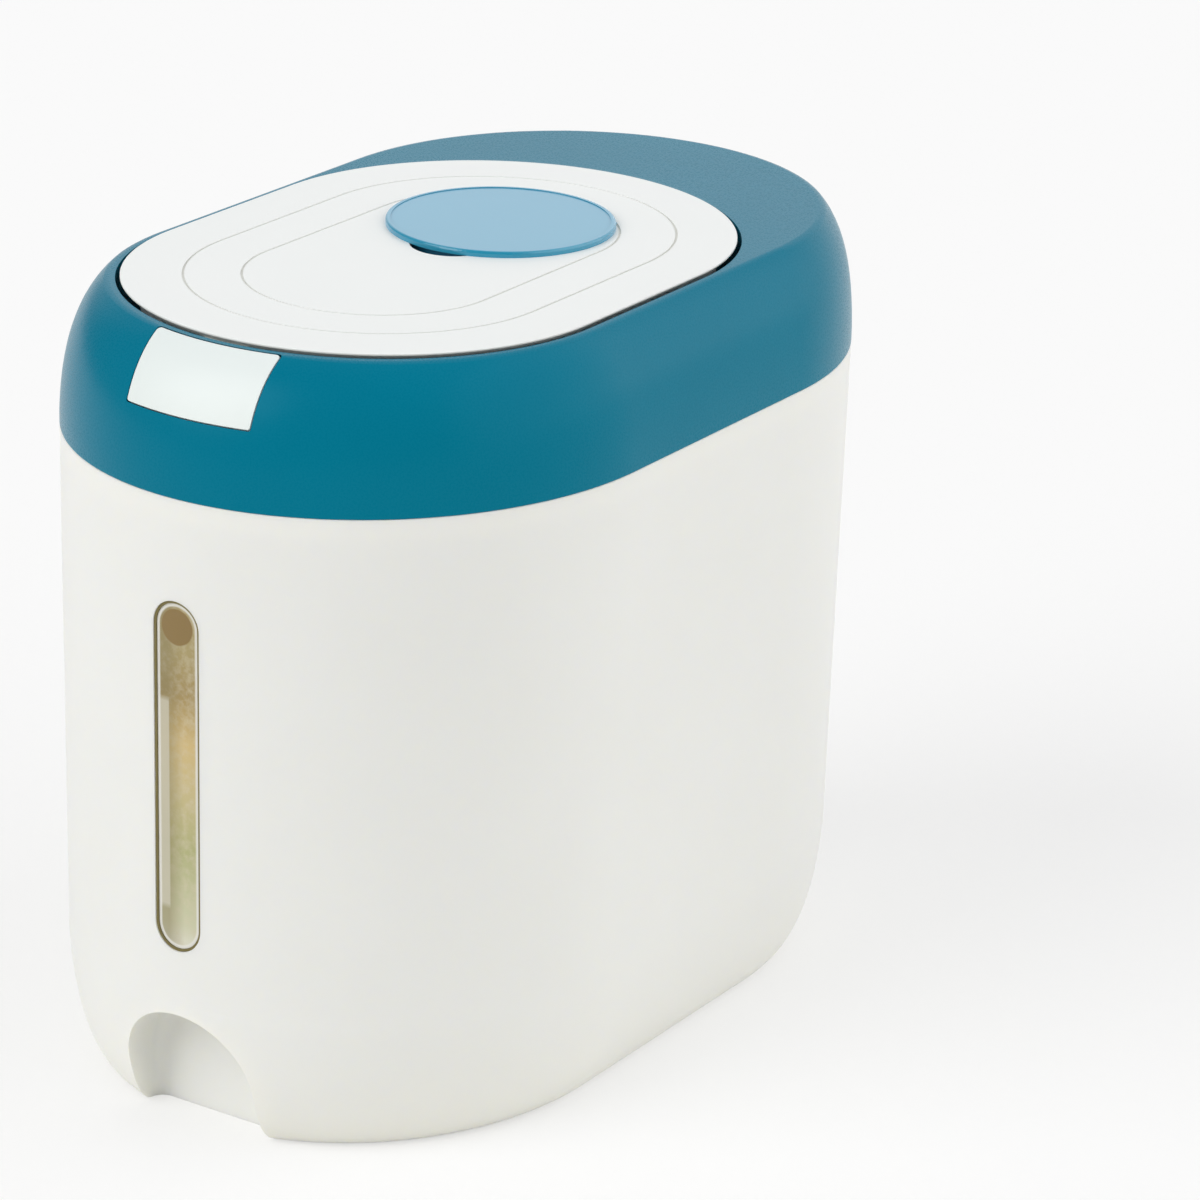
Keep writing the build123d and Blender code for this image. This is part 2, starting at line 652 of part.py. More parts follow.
def make_lid_screws():
    length = LINER_WALL + SCREW_BITE - SCREW_FIT
    screws = [Pos(x, y, LINER_BOTTOM) * screw(length) for x, y in lid_screw_places()]
    return Compound(screws)


def make_lid_catch():
    """Springy plate on the block's front, with a barb that hooks under the keeper's edge."""
    plate = block(-CATCH_HALF, CATCH_HALF, CATCH_FRONT, CATCH_BACK, LINER_BOTTOM - CATCH_DROP, PANEL_UNDER)
    top = KEEPER_TOP - KEEPER_GAP
    tip = CATCH_FRONT - BARB_REACH
    points = [
        (CATCH_FRONT, top), (tip, top), (tip, top - BARB_TIP), (CATCH_FRONT, top - BARB_HEIGHT),
    ]
    barb = extrude(Plane.YZ * make_face(Polyline(*points, close=True)), CATCH_HALF, both=True)
    catch = plate + barb
    for side in (-1, 1):
        hole = Plane.XZ * Cylinder(SCREW_RADIUS + SCREW_FIT, 2 * CATCH_THICK)
        catch = catch - Pos(side * CATCH_SCREW_OUT, CATCH_BACK, catch_screw_height()) * hole
    return catch


def make_catch_screws():
    length = CATCH_THICK + SCREW_BITE - SCREW_FIT
    turned = Rot(-90, 0, 0) * screw(length)
    screws = []
    for side in (-1, 1):
        screws.append(Pos(side * CATCH_SCREW_OUT, CATCH_FRONT, catch_screw_height()) * turned)
    return Compound(screws)


def make_desiccant_cup():
    bottom = LID_TOP - CUP_DEPTH
    inner = CUP_RADIUS - CUP_WALL
    cup = rod(CUP_RADIUS, 0, CAP_Y, bottom, LID_TOP)
    cup = cup + rod(CUP_RADIUS + CUP_FLANGE, 0, CAP_Y, LID_TOP - CUP_FLANGE_THICK, LID_TOP)
    cup = cup - rod(inner, 0, CAP_Y, bottom + CUP_FLOOR, LID_TOP)
    for share, count in zip(VENT_RING_SHARES, VENT_RING_COUNTS):
        for step in range(count):
            angle = 2 * math.pi * step / count
            x = inner * share * math.cos(angle)
            y = CAP_Y + inner * share * math.sin(angle)
            cup = cup - rod(VENT_RADIUS, x, y, bottom, bottom + CUP_FLOOR)
    return cup


def cap_skirt_radius():
    return CUP_RADIUS - CUP_WALL - CUP_FIT


def make_desiccant_cap():
    top = LID_TOP + CAP_THICK
    disc = rod(CAP_RADIUS, 0, CAP_Y, LID_TOP, top)
    disc = fillet(disc.edges().sort_by(Axis.Z)[-1], CAP_ROUND)
    disc = disc - rod(CAP_RADIUS - CAP_DISH_RIM, 0, CAP_Y, top - CAP_DISH, top)
    radius = cap_skirt_radius()
    skirt_low = LID_TOP - CAP_SKIRT_DEPTH
    skirt = rod(radius, 0, CAP_Y, skirt_low, LID_TOP)
    skirt = skirt - rod(radius - CAP_SKIRT_WALL, 0, CAP_Y, skirt_low, LID_TOP)
    seat_low = LID_TOP - CAP_SEAL_DROP - CAP_SEAL_THICK
    seat = rod(radius, 0, CAP_Y, seat_low, seat_low + CAP_SEAL_THICK)
    seat = seat - rod(radius - CAP_SEAL_SEAT, 0, CAP_Y, seat_low, seat_low + CAP_SEAL_THICK)
    return disc + (skirt - seat)


def make_cap_seal():
    outer = CUP_RADIUS - CUP_WALL - CAP_SEAL_GAP
    inner = cap_skirt_radius() - CAP_SEAL_SEAT
    low = LID_TOP - CAP_SEAL_DROP - CAP_SEAL_THICK
    ring = rod(outer, 0, CAP_Y, low, low + CAP_SEAL_THICK)
    return ring - rod(inner, 0, CAP_Y, low, low + CAP_SEAL_THICK)


def make_latch_button(outside):
    plane = button_plane()
    back = COLLAR_WALL + PLATE_FIT
    inside = collar_form(COLLAR_WALL, DECK)
    behind = collar_form(back, DECK)
    deepest = collar_form(back + WING_THICK, DECK + WING_THICK)
    tile = (outside - inside) & button_prism(0, BUTTON_SWEEP)
    wing_half = BUTTON_WIDTH / 2 + WING
    wings = plane * block(-wing_half, wing_half, WING_LOW, WING_HIGH, -OVERRUN / 2, OVERRUN / 2)
    wings = wings & (behind - deepest)
    joint = plane * block(-BUTTON_WIDTH / 2, BUTTON_WIDTH / 2, WING_LOW, WING_HIGH, -OVERRUN / 2, OVERRUN / 2)
    joint = joint & (inside - deepest)
    tip = LID_FRONT - LID_GAP - SKIRT_WALL - PLUNGER_GAP
    plunger_top = KEEPER_TOP - PLUNGER_GAP
    plunger = block(-PLUNGER_HALF, PLUNGER_HALF, -LENGTH / 2, tip, plunger_top - PLUNGER_HEIGHT, plunger_top)
    button = tile + wings + joint + (plunger & inside)
    for side in (-1, 1):
        seat = plane * Pos(side * BUTTON_SPRING_OUT, -BUTTON_SPRING_DROP, -BOSS_DEPTH / 2)
        boss = seat * Cylinder(BUTTON_SPRING_RADIUS + POST_MARGIN, BOSS_DEPTH)
        button = button + (boss & inside)
    return button


def make_button_spring(side):
    plane = button_plane()
    length = POST_DEPTH - BOSS_DEPTH
    radius = BUTTON_SPRING_RADIUS - BUTTON_SPRING_WIRE
    coil = coil_sleeve(radius, BUTTON_SPRING_WIRE, length)
    return plane * Pos(side * BUTTON_SPRING_OUT, -BUTTON_SPRING_DROP, -POST_DEPTH) * coil


def make_parts():
    outside = collar_outside()
    return {
        "bin_body": make_bin_body(),
        "window_lens": make_window_lens(),
        "window_gasket": make_window_gasket(),
        "rim_seal": make_rim_seal(),
        "top_frame": make_top_frame(),
        "collar": make_collar(outside),
        "frame_screws": make_frame_screws(),
        "hinge_pin": make_hinge_pin(),
        "lid_spring_left": make_lid_spring(-1),
        "lid_spring_right": make_lid_spring(1),
        "lid_panel": make_lid_panel(),
        "lid_liner": make_lid_liner(),
        "lid_seal": make_lid_seal(),
        "lid_screws": make_lid_screws(),
        "lid_catch": make_lid_catch(),
        "catch_screws": make_catch_screws(),
        "desiccant_cup": make_desiccant_cup(),
        "desiccant_cap": make_desiccant_cap(),
        "cap_seal": make_cap_seal(),
        "latch_button": make_latch_button(outside),
        "button_spring_left": make_button_spring(-1),
        "button_spring_right": make_button_spring(1),
    }


os.makedirs("parts", exist_ok=True)
for name, shape in make_parts().items():
    export_step(shape, f"parts/{name}.step")
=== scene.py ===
import json
import math

import bpy
import numpy as np
from mathutils import Matrix, Vector


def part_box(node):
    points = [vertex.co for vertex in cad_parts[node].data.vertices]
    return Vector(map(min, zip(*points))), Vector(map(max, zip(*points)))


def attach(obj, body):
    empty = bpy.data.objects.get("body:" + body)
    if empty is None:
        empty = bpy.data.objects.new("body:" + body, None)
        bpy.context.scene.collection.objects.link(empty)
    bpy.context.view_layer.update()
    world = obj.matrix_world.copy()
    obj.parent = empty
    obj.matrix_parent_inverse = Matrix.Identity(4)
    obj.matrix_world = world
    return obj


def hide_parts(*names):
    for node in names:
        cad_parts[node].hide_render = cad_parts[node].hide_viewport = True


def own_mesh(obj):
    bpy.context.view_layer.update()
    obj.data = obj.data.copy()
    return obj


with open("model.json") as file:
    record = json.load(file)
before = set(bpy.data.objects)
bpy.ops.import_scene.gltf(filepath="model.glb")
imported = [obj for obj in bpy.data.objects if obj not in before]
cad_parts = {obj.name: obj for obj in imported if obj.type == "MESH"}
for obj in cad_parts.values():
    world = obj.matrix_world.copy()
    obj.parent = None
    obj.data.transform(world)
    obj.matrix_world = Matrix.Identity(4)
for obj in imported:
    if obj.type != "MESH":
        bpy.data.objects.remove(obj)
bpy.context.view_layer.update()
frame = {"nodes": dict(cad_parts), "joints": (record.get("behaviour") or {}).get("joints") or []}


# Bin: one injection moulding in white polypropylene, with a curved foot, a finger notch at each
# end and a long slot for the level window. Its rim stands up inside the collar and snaps into it.

MM = 0.001


def linear(hex_colour):
    """sRGB hex to a linear colour: each channel c becomes ((c + 0.055) / 1.055) ** 2.4."""
    channels = np.array([int(hex_colour[place:place + 2], 16) for place in (1, 3, 5)]) / 255
    low = channels / 12.92
    high = ((channels + 0.055) / 1.055) ** 2.4
    return (*np.where(channels <= 0.04045, low, high).tolist(), 1.0)


def add_node(tree, kind, inputs=None, **settings):
    """One node with its settings; an input that is given a socket is linked, any other is set."""
    made = tree.nodes.new(kind)
    for name, value in settings.items():
        setattr(made, name, value)
    for name, value in (inputs or {}).items():
        if isinstance(value, bpy.types.NodeSocket):
            tree.links.new(value, made.inputs[name])
        else:
            made.inputs[name].default_value = value
    return made


def new_material(name):
    """Empty node material, its tree and its Object coordinates."""
    material = bpy.data.materials.new(name)
    material.use_nodes = True
    material.node_tree.nodes.clear()
    places = add_node(material.node_tree, "ShaderNodeTexCoord").outputs["Object"]
    return material, material.node_tree, places


def moulded(name, light, dark, roughness, grain_mm, relief_mm, **finish):
    """Moulded plastic: broad flow clouds between two shades, and the mould's fine grain as relief
    and as uneven gloss. Finish holds the shader's own sockets, named with underscores."""
    material, tree, places = new_material(name)
    cloud = add_node(tree, "ShaderNodeTexNoise",
                     {"Vector": places, "Scale": 1 / (70 * MM), "Detail": 3, "Roughness": 0.5})
    grain = add_node(tree, "ShaderNodeTexNoise",
                     {"Vector": places, "Scale": 1 / (grain_mm * MM), "Detail": 2, "Roughness": 0.6})
    shade = add_node(tree, "ShaderNodeMix",
                     {0: cloud.outputs["Fac"], 6: linear(light), 7: linear(dark)}, data_type="RGBA")
    gloss = add_node(tree, "ShaderNodeMapRange",
                     {"Value": grain.outputs["Fac"], "From Min": 0.25, "From Max": 0.75,
                      "To Min": roughness - 0.06, "To Max": roughness + 0.06})
    relief = add_node(tree, "ShaderNodeBump",
                      {"Height": grain.outputs["Fac"], "Distance": relief_mm * MM, "Strength": 1.0})
    skin = add_node(tree, "ShaderNodeBsdfPrincipled",
                    {"Base Color": shade.outputs[2], "Roughness": gloss.outputs["Result"],
                     "Normal": relief.outputs["Normal"]})
    for socket, value in finish.items():
        skin.inputs[socket.replace("_", " ")].default_value = value
    add_node(tree, "ShaderNodeOutputMaterial", {"Surface": skin.outputs["BSDF"]})
    return material


def dress(material, *names):
    """Gives CAD nodes a material in their own slots."""
    for name in names:
        for slot in frame["nodes"][name].material_slots:
            slot.material = material


# Polypropylene with a spark-eroded mould skin: soft sheen, no sharp mirror, and a little light
# inside the wall. The real grain is near 0.3 mm, drawn at 0.9 mm so that it shows.
bin_polypropylene = moulded("bin_polypropylene", "#F6F6F2", "#F1F1EC", 0.38, 0.9, 0.012,
                            IOR=1.49, Specular_IOR_Level=0.4, Subsurface_Weight=0.3,
                            Subsurface_Scale=0.008, Subsurface_Radius=(1.0, 0.85, 0.5))
dress(bin_polypropylene, "bin_body")


# Level window: a clear polycarbonate lens with a flange behind the wall, bedded in a soft gasket
# whose lip shows as a thin line round the slot; the gasket's dark olive is painted shade of the slot's
# reveal.
# Both are pressed in from the inside.

# Clear polycarbonate over the dim inside: an olive tint that warms towards the top and pales at the
# foot, a painted shadow of the wall on the left, a painted highlight along the edge, a dark round spot near
# the top and a pale strip.
slot_half, slot_low, slot_high = 9.5 * MM, 70.5 * MM, 198.0 * MM
slot_middle = (slot_low + slot_high) / 2
round_spot_place = (0.0, slot_high - slot_half)
round_spot_radius = 6.2 * MM
strip_place, strip_half = (-6.1 * MM, 124.0 * MM), (2.3 * MM, 37.0 * MM)
highlight_band = (2.5 * MM, 1.9 * MM)
soft_edge = 0.5 * MM
tints = ((0.0, "#ECEADC"), (0.08, "#D4D5B2"), (0.3, "#B6B67A"), (0.46, "#D0C088"), (0.6, "#DABE7C"),
         (0.74, "#A58B48"), (0.86, "#AE9C62"))

polycarbonate, tree, places = new_material("polycarbonate_lens")
spot = add_node(tree, "ShaderNodeSeparateXYZ", {"Vector": places}).outputs
rise = add_node(tree, "ShaderNodeMapRange",
                {"Value": spot["Z"], "From Min": slot_low, "From Max": slot_high})
tint = add_node(tree, "ShaderNodeValToRGB", {"Fac": rise.outputs["Result"]})
stops = tint.color_ramp.elements
while len(stops) < len(tints):
    stops.new(1.0)
for stop, (height, colour) in zip(stops, tints):
    stop.position = height
    stop.color = linear(colour)
grains = add_node(tree, "ShaderNodeTexNoise",
                  {"Vector": places, "Scale": 1 / (3.5 * MM), "Detail": 5, "Roughness": 0.65})
speckle = add_node(tree, "ShaderNodeMapRange", {"Value": grains.outputs["Fac"], "From Min": 0.42,
                                                "From Max": 0.72, "To Max": 0.55})
surface = add_node(tree, "ShaderNodeMix", {0: speckle.outputs["Result"], 6: tint.outputs["Color"],
                                           7: linear("#DDD2B4")}, data_type="RGBA")

shadow = add_node(tree, "ShaderNodeMapRange", {"Value": spot["X"], "From Min": -4 * MM, "From Max": 2.5 * MM,
                                               "To Min": 0.6, "To Max": 0})
surface = add_node(tree, "ShaderNodeMix", {0: shadow.outputs["Result"], 6: surface.outputs[2],
                                           7: linear("#84753A")}, data_type="RGBA")

# Strip, round spot and edge highlight are each a soft mask from the distance to their outline.
sideways = add_node(tree, "ShaderNodeMath", {0: spot["X"], 1: strip_place[0]}, operation="SUBTRACT")
sideways = add_node(tree, "ShaderNodeMath", {0: sideways.outputs[0]}, operation="ABSOLUTE")
upwards = add_node(tree, "ShaderNodeMath", {0: spot["Z"], 1: strip_place[1]}, operation="SUBTRACT")
upwards = add_node(tree, "ShaderNodeMath", {0: upwards.outputs[0]}, operation="ABSOLUTE")
strip_x = add_node(tree, "ShaderNodeMapRange",
                   {"Value": sideways.outputs[0], "From Min": strip_half[0],
                    "From Max": strip_half[0] + soft_edge, "To Min": 1, "To Max": 0})
strip_z = add_node(tree, "ShaderNodeMapRange",
                   {"Value": upwards.outputs[0], "From Min": strip_half[1],
                    "From Max": strip_half[1] + 4 * soft_edge, "To Min": 1, "To Max": 0})
strip = add_node(tree, "ShaderNodeMath", {0: strip_x.outputs["Result"], 1: strip_z.outputs["Result"]},
                 operation="MULTIPLY")
strip = add_node(tree, "ShaderNodeMath", {0: strip.outputs[0], 1: 0.75}, operation="MULTIPLY")
surface = add_node(tree, "ShaderNodeMix", {0: strip.outputs[0], 6: surface.outputs[2],
                                           7: linear("#D6D1BC")}, data_type="RGBA")
# A dark round spot near the top, drawn on the lens.
round_spot_up = add_node(tree, "ShaderNodeMath", {0: spot["Z"], 1: round_spot_place[1]}, operation="SUBTRACT")
round_spot_offset = add_node(tree, "ShaderNodeCombineXYZ", {"X": spot["X"], "Z": round_spot_up.outputs[0]})
round_spot_distance = add_node(tree, "ShaderNodeVectorMath", {0: round_spot_offset.outputs["Vector"]},
                        operation="LENGTH")
round_spot = add_node(tree, "ShaderNodeMapRange",
               {"Value": round_spot_distance.outputs["Value"], "From Min": round_spot_radius,
                "From Max": round_spot_radius + soft_edge, "To Min": 1, "To Max": 0})
surface = add_node(tree, "ShaderNodeMix", {0: round_spot.outputs["Result"], 6: surface.outputs[2],
                                           7: linear("#8A6C1E")}, data_type="RGBA")
# Painted highlight: a pale band just inside the lens's outline, where the edge would catch the light.
climb = add_node(tree, "ShaderNodeMath", {0: spot["Z"], 1: slot_middle}, operation="SUBTRACT")
climb = add_node(tree, "ShaderNodeMath", {0: climb.outputs[0]}, operation="ABSOLUTE")
climb = add_node(tree, "ShaderNodeMath", {0: climb.outputs[0], 1: (slot_high - slot_low) / 2 - slot_half},
                 operation="SUBTRACT")
climb = add_node(tree, "ShaderNodeMath", {0: climb.outputs[0], 1: 0.0}, operation="MAXIMUM")
offset = add_node(tree, "ShaderNodeCombineXYZ", {"X": spot["X"], "Z": climb.outputs[0]})
reach = add_node(tree, "ShaderNodeVectorMath", {0: offset.outputs["Vector"]}, operation="LENGTH")
edge = add_node(tree, "ShaderNodeMapRange",
                {"Value": reach.outputs["Value"], "From Min": slot_half - highlight_band[0],
                 "From Max": slot_half - highlight_band[1], "To Max": 0.9})
surface = add_node(tree, "ShaderNodeMix", {0: edge.outputs["Result"], 6: surface.outputs[2],
                                           7: linear("#F6F5EF")}, data_type="RGBA")
lens = add_node(tree, "ShaderNodeBsdfPrincipled",
                {"Base Color": surface.outputs[2], "Roughness": 0.06, "IOR": 1.58,
                 "Transmission Weight": 0.15, "Coat Weight": 0.6, "Coat Roughness": 0.03})
add_node(tree, "ShaderNodeOutputMaterial", {"Surface": lens.outputs["BSDF"]})
dress(polycarbonate, "window_lens")

# Nitrile rubber: matt, with a faint bloom that makes it uneven. Its dark olive is painted shade, standing
# for the shade in the slot's reveal.
nitrile_with_painted_shade = moulded("nitrile_gasket_painted_shade", "#857A4A", "#6B6136", 0.6, 0.8, 0.02)
dress(nitrile_with_painted_shade, "window_gasket")


# Seals: milky silicone rings, one under the frame plate, one in the lid's floor and one round the
# cap's skirt. Each is moulded flat and pressed into its seat.

# Silicone: soft translucent white with a dusty, waxy gloss.
silicone = moulded("silicone_seal", "#E2E5E4", "#D3D8D7", 0.45, 1.2, 0.015, Subsurface_Weight=0.2,
                   Subsurface_Scale=0.002, IOR=1.41)
dress(silicone, "rim_seal", "lid_seal", "cap_seal")


# Inner frame: a white polypropylene plate with the filling neck, the hinge ears and the posts
# for the tile's springs. Six screws go up through it into bosses under the collar.

# Plain polished-mould polypropylene: a flatter sheen than the bin's outside.
frame_polypropylene = moulded("frame_polypropylene", "#EEF0EF", "#E6E9E8", 0.45, 1.4, 0.01, IOR=1.49)
dress(frame_polypropylene, "top_frame", "lid_liner")

# Zinc-plated steel: bright, slightly blue, with drawn streaks that break up the mirror.
zinc, tree, places = new_material("zinc_plated_steel")
drawn = add_node(tree, "ShaderNodeMapping", {"Vector": places, "Scale": (0.1, 1.0, 1.0)})
streak = add_node(tree, "ShaderNodeTexNoise",
                  {"Vector": drawn.outputs["Vector"], "Scale": 1 / (0.4 * MM), "Detail": 3})
plating = add_node(tree, "ShaderNodeMix", {0: streak.outputs["Fac"], 6: linear("#C6CACE"),
                                           7: linear("#A9AEB4")}, data_type="RGBA")
polish = add_node(tree, "ShaderNodeMapRange",
                  {"Value": streak.outputs["Fac"], "To Min": 0.2, "To Max": 0.42})
steel = add_node(tree, "ShaderNodeBsdfPrincipled",
                 {"Base Color": plating.outputs[2], "Roughness": polish.outputs["Result"],
                  "Metallic": 1.0})
add_node(tree, "ShaderNodeOutputMaterial", {"Surface": steel.outputs["BSDF"]})
dress(zinc, "frame_screws", "hinge_pin", "lid_screws", "catch_screws")


# Collar: the blue shoulder ring in satin ABS, with a deck round the lid and a soft crease at the
# deck's edge. It snaps over the bin's rim and carries the lid's hinge through the inner frame.

# Satin ABS: deep petrol blue that lightens where it mirrors the room at a low angle.
collar_abs = moulded("collar_abs", "#007893", "#00718C", 0.28, 0.7, 0.0012, IOR=1.5, Specular_IOR_Level=0.16,
                     Specular_Tint=linear("#8FD6F0"))
dress(collar_abs, "collar")


# Springs: two torsion springs round the hinge pin that lift the lid, each with a leg that stands
# on the frame, and two compression springs behind the press tile. All are bright steel wire.

def wire_tube(name, path, wire, axis, sides=10):
    """Round wire along a path: at each point p with tangent t, u is the axis less its part along
    t, v is t x u, and the ring is p + wire / 2 * (u cos a + v sin a). Flat ends close the tube."""
    tangent = np.gradient(path, axis=0)
    tangent /= np.linalg.norm(tangent, axis=1, keepdims=True)
    upright = axis - tangent * (tangent @ axis)[:, None]
    upright /= np.linalg.norm(upright, axis=1, keepdims=True)
    sideways = np.cross(tangent, upright)
    turn = np.linspace(0, 2 * np.pi, sides, endpoint=False)
    ring = upright[:, None] * np.cos(turn)[:, None] + sideways[:, None] * np.sin(turn)[:, None]
    points = (path[:, None] + wire / 2 * ring).reshape(-1, 3)
    start = np.arange(len(path) - 1)[:, None] * sides
    here, after = np.arange(sides), np.roll(np.arange(sides), -1)
    quads = np.stack([start + here, start + after, start + after + sides, start + here + sides], -1)
    ends = [here[::-1].tolist(), (here + len(points) - sides).tolist()]
    mesh = bpy.data.meshes.new(name)
    mesh.from_pydata(points.tolist(), [], quads.reshape(-1, 4).tolist() + ends)
    mesh.polygons.foreach_set("use_smooth", [True] * (len(ends) + quads.shape[0] * sides))
    mesh.materials.append(zinc)
    spring = bpy.data.objects.new(name, mesh)
    bpy.context.scene.collection.objects.link(spring)
    return spring


def fit_spring(spring, node):
    """The wound spring rides on the base and stands for its plain CAD tube."""
    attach(spring, "base")
    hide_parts(node)


pin_low, pin_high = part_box("hinge_pin")
pin_y = (pin_low.y + pin_high.y) / 2
pin_z = (pin_low.z + pin_high.z) / 2
lid_wire = 1.1 * MM
lid_coil_radius = 3.15 * MM
lid_turns = 9
for side, node in ((-1, "lid_spring_left"), (1, "lid_spring_right")):
    low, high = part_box(node)
    inner = min(abs(low.x), abs(high.x)) + lid_wire / 2
    outer = max(abs(low.x), abs(high.x)) - lid_wire / 2
    turn = np.linspace(0, 1, lid_turns * 24 + 1)
    angle = 2 * np.pi * lid_turns * turn
    coil = np.stack([inner + (outer - inner) * turn, pin_y + lid_coil_radius * np.cos(angle),
                     pin_z + lid_coil_radius * np.sin(-angle)], -1)
    drop = np.linspace(0, 1, 13)[1:, None]
    foot = np.array([outer, pin_y + lid_coil_radius, low.z])
    path = np.concatenate([coil, coil[-1] + (foot - coil[-1]) * drop]) * (side, 1, 1)
    fit_spring(wire_tube(f"wound_{node}", path, lid_wire, np.array((1.0, 0.0, 0.0))), node)

tile_wire = 0.8 * MM
tile_turns = 5
tile_coil_radius = 2.4 * MM
tile_coil_length = 6.5 * MM
press_out = -np.array(frame["joints"][2]["axis"])
slope_up = np.array((0.0, press_out[2], -press_out[1]))
for node in ("button_spring_left", "button_spring_right"):
    low, high = np.array(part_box(node))
    middle = (low + high) / 2
    turn = np.linspace(-0.5, 0.5, tile_turns * 24 + 1)[:, None]
    angle = 2 * np.pi * tile_turns * turn
    radial = np.array((1.0, 0.0, 0.0)) * np.cos(angle) + slope_up * np.sin(angle)
    path = middle + press_out * (tile_coil_length - tile_wire) * turn + radial * tile_coil_radius
    coil = wire_tube(f"wound_{node}", path, tile_wire, press_out)
    fit_spring(coil, node)
    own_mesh(coil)


# Press tile: a white ABS tile that follows the shoulder, with wings that hold it behind the
# collar and a plunger that pushes the lid's catch back.

# Satin ABS: a clean white with a broad soft reflection and almost no grain.
tile_abs = moulded("tile_abs", "#EAF1F0", "#E6EEED", 0.36, 1.2, 0.004, IOR=1.53,
                   Specular_IOR_Level=0.3)
dress(tile_abs, "latch_button")


# Lid: a white polypropylene panel with two fine ring lines and a finger scoop, screwed to a liner
# whose hooked arm turns on the pin. The acetal catch hooks under a keeper on the neck.

# Polypropylene with a silky skin: paler and a little smoother than the bin.
lid_polypropylene = moulded("lid_polypropylene", "#F4F6F5", "#F0F3F2", 0.36, 0.9, 0.01, IOR=1.49,
                            Specular_IOR_Level=0.25)
dress(lid_polypropylene, "lid_panel")

# Painted shade: below the top face, in the two ring grooves and down the lid's lower edge, the colour is
# greyed, standing for the shade there.
lid_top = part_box("lid_panel")[1].z
tree = lid_polypropylene.node_tree
skin = next(node for node in tree.nodes if node.type == "BSDF_PRINCIPLED")
height = add_node(tree, "ShaderNodeSeparateXYZ",
                  {"Vector": add_node(tree, "ShaderNodeTexCoord").outputs["Object"]}).outputs["Z"]
groove_shade = add_node(tree, "ShaderNodeMapRange", {"Value": height, "From Min": lid_top - 0.5 * MM,
                                             "From Max": lid_top - 0.15 * MM, "To Min": 0.5, "To Max": 0})
unshaded = skin.inputs["Base Color"].links[0].from_socket
groove_shaded = add_node(tree, "ShaderNodeMix", {0: groove_shade.outputs["Result"], 6: unshaded, 7: linear("#D2D0C4")},
                 data_type="RGBA")
tree.links.new(groove_shaded.outputs[2], skin.inputs["Base Color"])

# Acetal: slightly warm white with a slippery, waxy gloss.
acetal = moulded("acetal_catch", "#ECEBE6", "#E3E2DC", 0.32, 1.0, 0.006, IOR=1.48)
dress(acetal, "lid_catch")


# Drying cup and cap: a vented blue cup dropped into the lid, closed by a round cap with a dished
# top and a skirt. The cap lifts out by the scoop in front of it.

# Moulded polypropylene, dyed through: the collar's blue with a duller skin.
cup_polypropylene = moulded("cup_polypropylene", "#0A6D92", "#086487", 0.45, 1.0, 0.01, IOR=1.49)
dress(cup_polypropylene, "desiccant_cup")

# Polished ABS: the same blue under a clear gloss, which mirrors the room and looks sky blue.
cap_abs = moulded("cap_abs", "#1590B0", "#118AAA", 0.2, 0.8, 0.004, IOR=1.5, Coat_Weight=0.5,
                  Coat_Roughness=0.08, Sheen_Weight=0.65, Sheen_Roughness=0.5, Sheen_Tint=linear("#B8E2FF"))
dress(cap_abs, "desiccant_cap")


# Studio: a pale floor, a white surround, a soft key lamp on the left of the camera and a broader,
# slightly weaker fill on its right. The camera stands where the photograph was taken.

def seen_directly(tree):
    """Is Camera Ray, and 1 for a ray that shows the backdrop: straight, mirrored or through a lens."""
    rays = add_node(tree, "ShaderNodeLightPath").outputs
    mirrored = add_node(tree, "ShaderNodeMath", {0: rays["Is Glossy Ray"], 1: rays["Is Transmission Ray"]},
                        operation="MAXIMUM")
    seen = add_node(tree, "ShaderNodeMath", {0: rays["Is Camera Ray"], 1: mirrored.outputs[0]},
                    operation="MAXIMUM")
    return rays["Is Camera Ray"], seen.outputs[0]


floor_half = 12.0
floor_mesh = bpy.data.meshes.new("floor")
floor_mesh.from_pydata([(-floor_half, -floor_half, 0), (floor_half, -floor_half, 0),
                        (floor_half, floor_half, 0), (-floor_half, floor_half, 0)], [], [(0, 1, 2, 3)])
floor = bpy.data.objects.new("floor", floor_mesh)
bpy.context.scene.collection.objects.link(floor)
paper, tree, places = new_material("seamless_paper")
straight, seen = seen_directly(tree)
fibre = add_node(tree, "ShaderNodeTexNoise", {"Vector": places, "Scale": 1 / (3 * MM), "Detail": 2})
sheet = add_node(tree, "ShaderNodeMix", {0: fibre.outputs["Fac"], 6: linear("#FDFDFD"),
                                         7: linear("#FBFBFB")}, data_type="RGBA")
paper_tone = add_node(tree, "ShaderNodeMix", {0: seen, 6: linear("#ECEAE1"), 7: sheet.outputs[2]},
                      data_type="RGBA")
matt = add_node(tree, "ShaderNodeBsdfDiffuse", {"Color": paper_tone.outputs[2]})
white = add_node(tree, "ShaderNodeEmission", {"Color": linear("#FDFDFD"), "Strength": 1.0})
veil = add_node(tree, "ShaderNodeMath", {0: seen, 1: 0.5}, operation="MULTIPLY")
lit = add_node(tree, "ShaderNodeMixShader", {0: veil.outputs[0], 1: matt.outputs["BSDF"],
                                             2: white.outputs["Emission"]})
add_node(tree, "ShaderNodeOutputMaterial", {"Surface": lit.outputs["Shader"]})
floor_mesh.materials.append(paper)

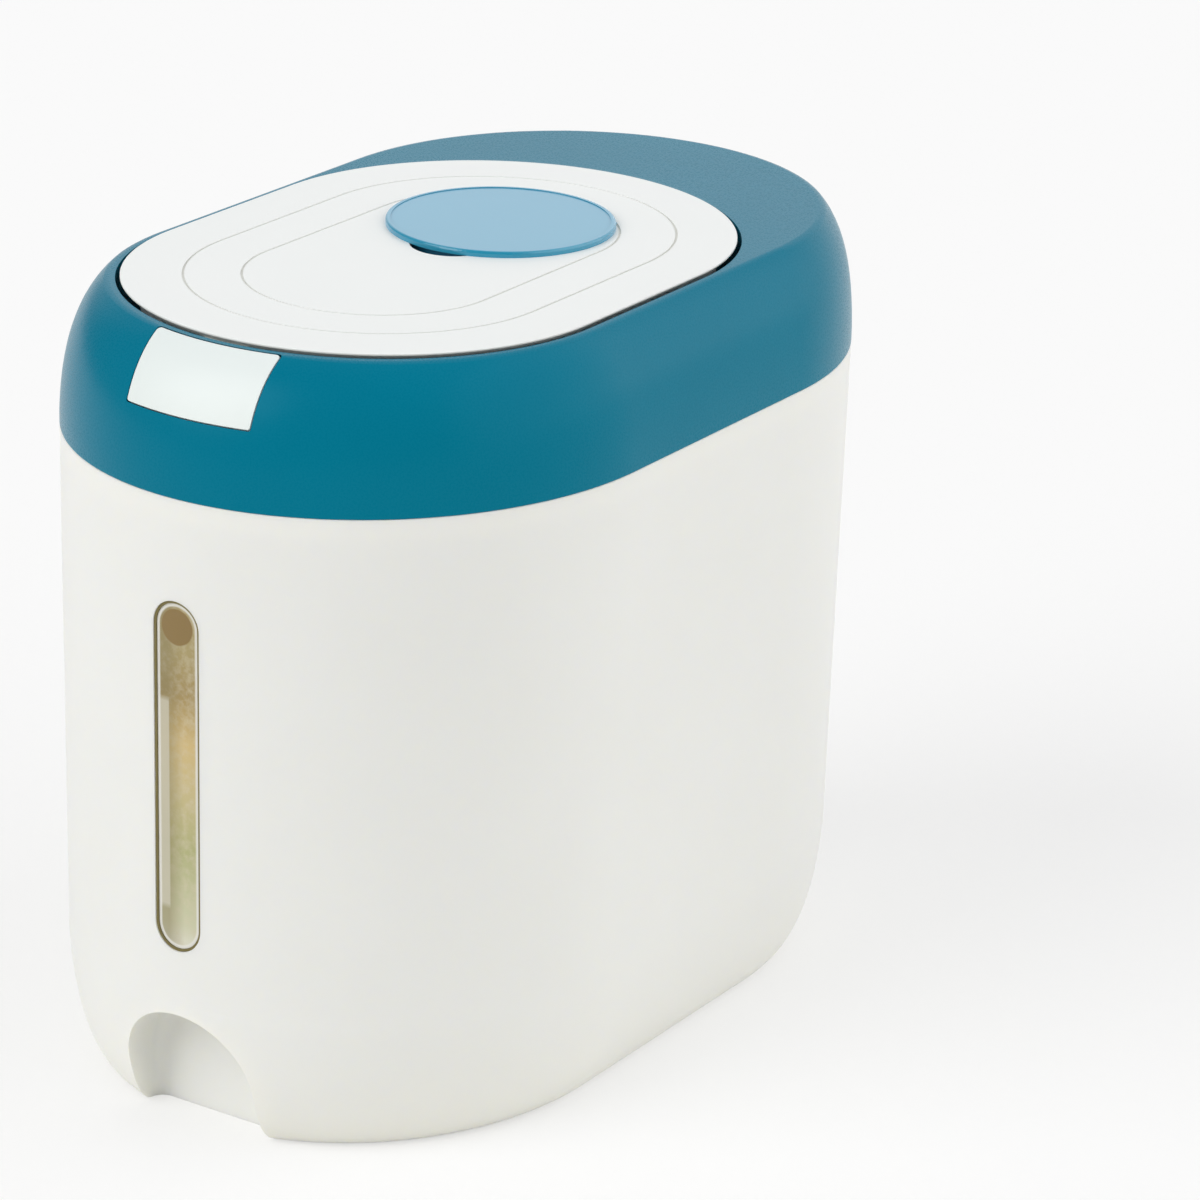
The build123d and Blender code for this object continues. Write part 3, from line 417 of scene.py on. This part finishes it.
world = bpy.data.worlds.new("studio_surround")
world.use_nodes = True
tree = world.node_tree
tree.nodes.clear()
straight, seen = seen_directly(tree)
heading = add_node(tree, "ShaderNodeVectorMath",
                   {0: add_node(tree, "ShaderNodeTexCoord").outputs["Generated"], 1: (0.3, 0.9, 0.3)},
                   operation="DOT_PRODUCT")
backdrop = add_node(tree, "ShaderNodeMapRange", {"Value": heading.outputs["Value"], "From Min": -0.05,
                                                 "From Max": 0.55, "To Min": 0.06, "To Max": 1.0})
shown = add_node(tree, "ShaderNodeMath", {0: backdrop.outputs["Result"], 1: straight}, operation="MAXIMUM")
strength = add_node(tree, "ShaderNodeMix", {0: seen, 2: 0.57, 3: shown.outputs[0]})
surround = add_node(tree, "ShaderNodeBackground", {"Color": (1, 1, 1, 1), "Strength": strength.outputs[0]})
add_node(tree, "ShaderNodeOutputWorld", {"Surface": surround.outputs["Background"]})
bpy.context.scene.world = world

aim = Vector((0, 0, 0.14))
lamps = (("key_lamp", (-0.8, -1.5, 1.3), 45, 1.32), ("fill_lamp", (1.7, 0.8, 0.85), 80, 1.2))
for name, place, spread, power in lamps:
    light = bpy.data.lights.new(name, "SUN")
    light.angle = math.radians(spread)
    light.energy = power
    lamp = bpy.data.objects.new(name, light)
    lamp.location = place
    lamp.rotation_euler = (aim - lamp.location).to_track_quat("-Z", "Y").to_euler()
    bpy.context.scene.collection.objects.link(lamp)

camera_data = bpy.data.cameras.new("camera")
camera_data.lens = 155.37
camera_data.sensor_width = 36
camera = bpy.data.objects.new("camera", camera_data)
camera_back = Vector((0.501735, -0.788896, 0.354831)).normalized()
camera_right = Vector((0.837507, 0.545661, 0.028925))
camera_up = camera_back.cross(camera_right).normalized()
camera_turn = Matrix((camera_up.cross(camera_back), camera_up, camera_back)).transposed()
camera.matrix_world = Matrix.Translation((0.97588, -1.44238, 0.80955)) @ camera_turn.to_4x4()
bpy.context.scene.collection.objects.link(camera)
bpy.context.scene.camera = camera
bpy.context.scene.view_settings.view_transform = "Standard"
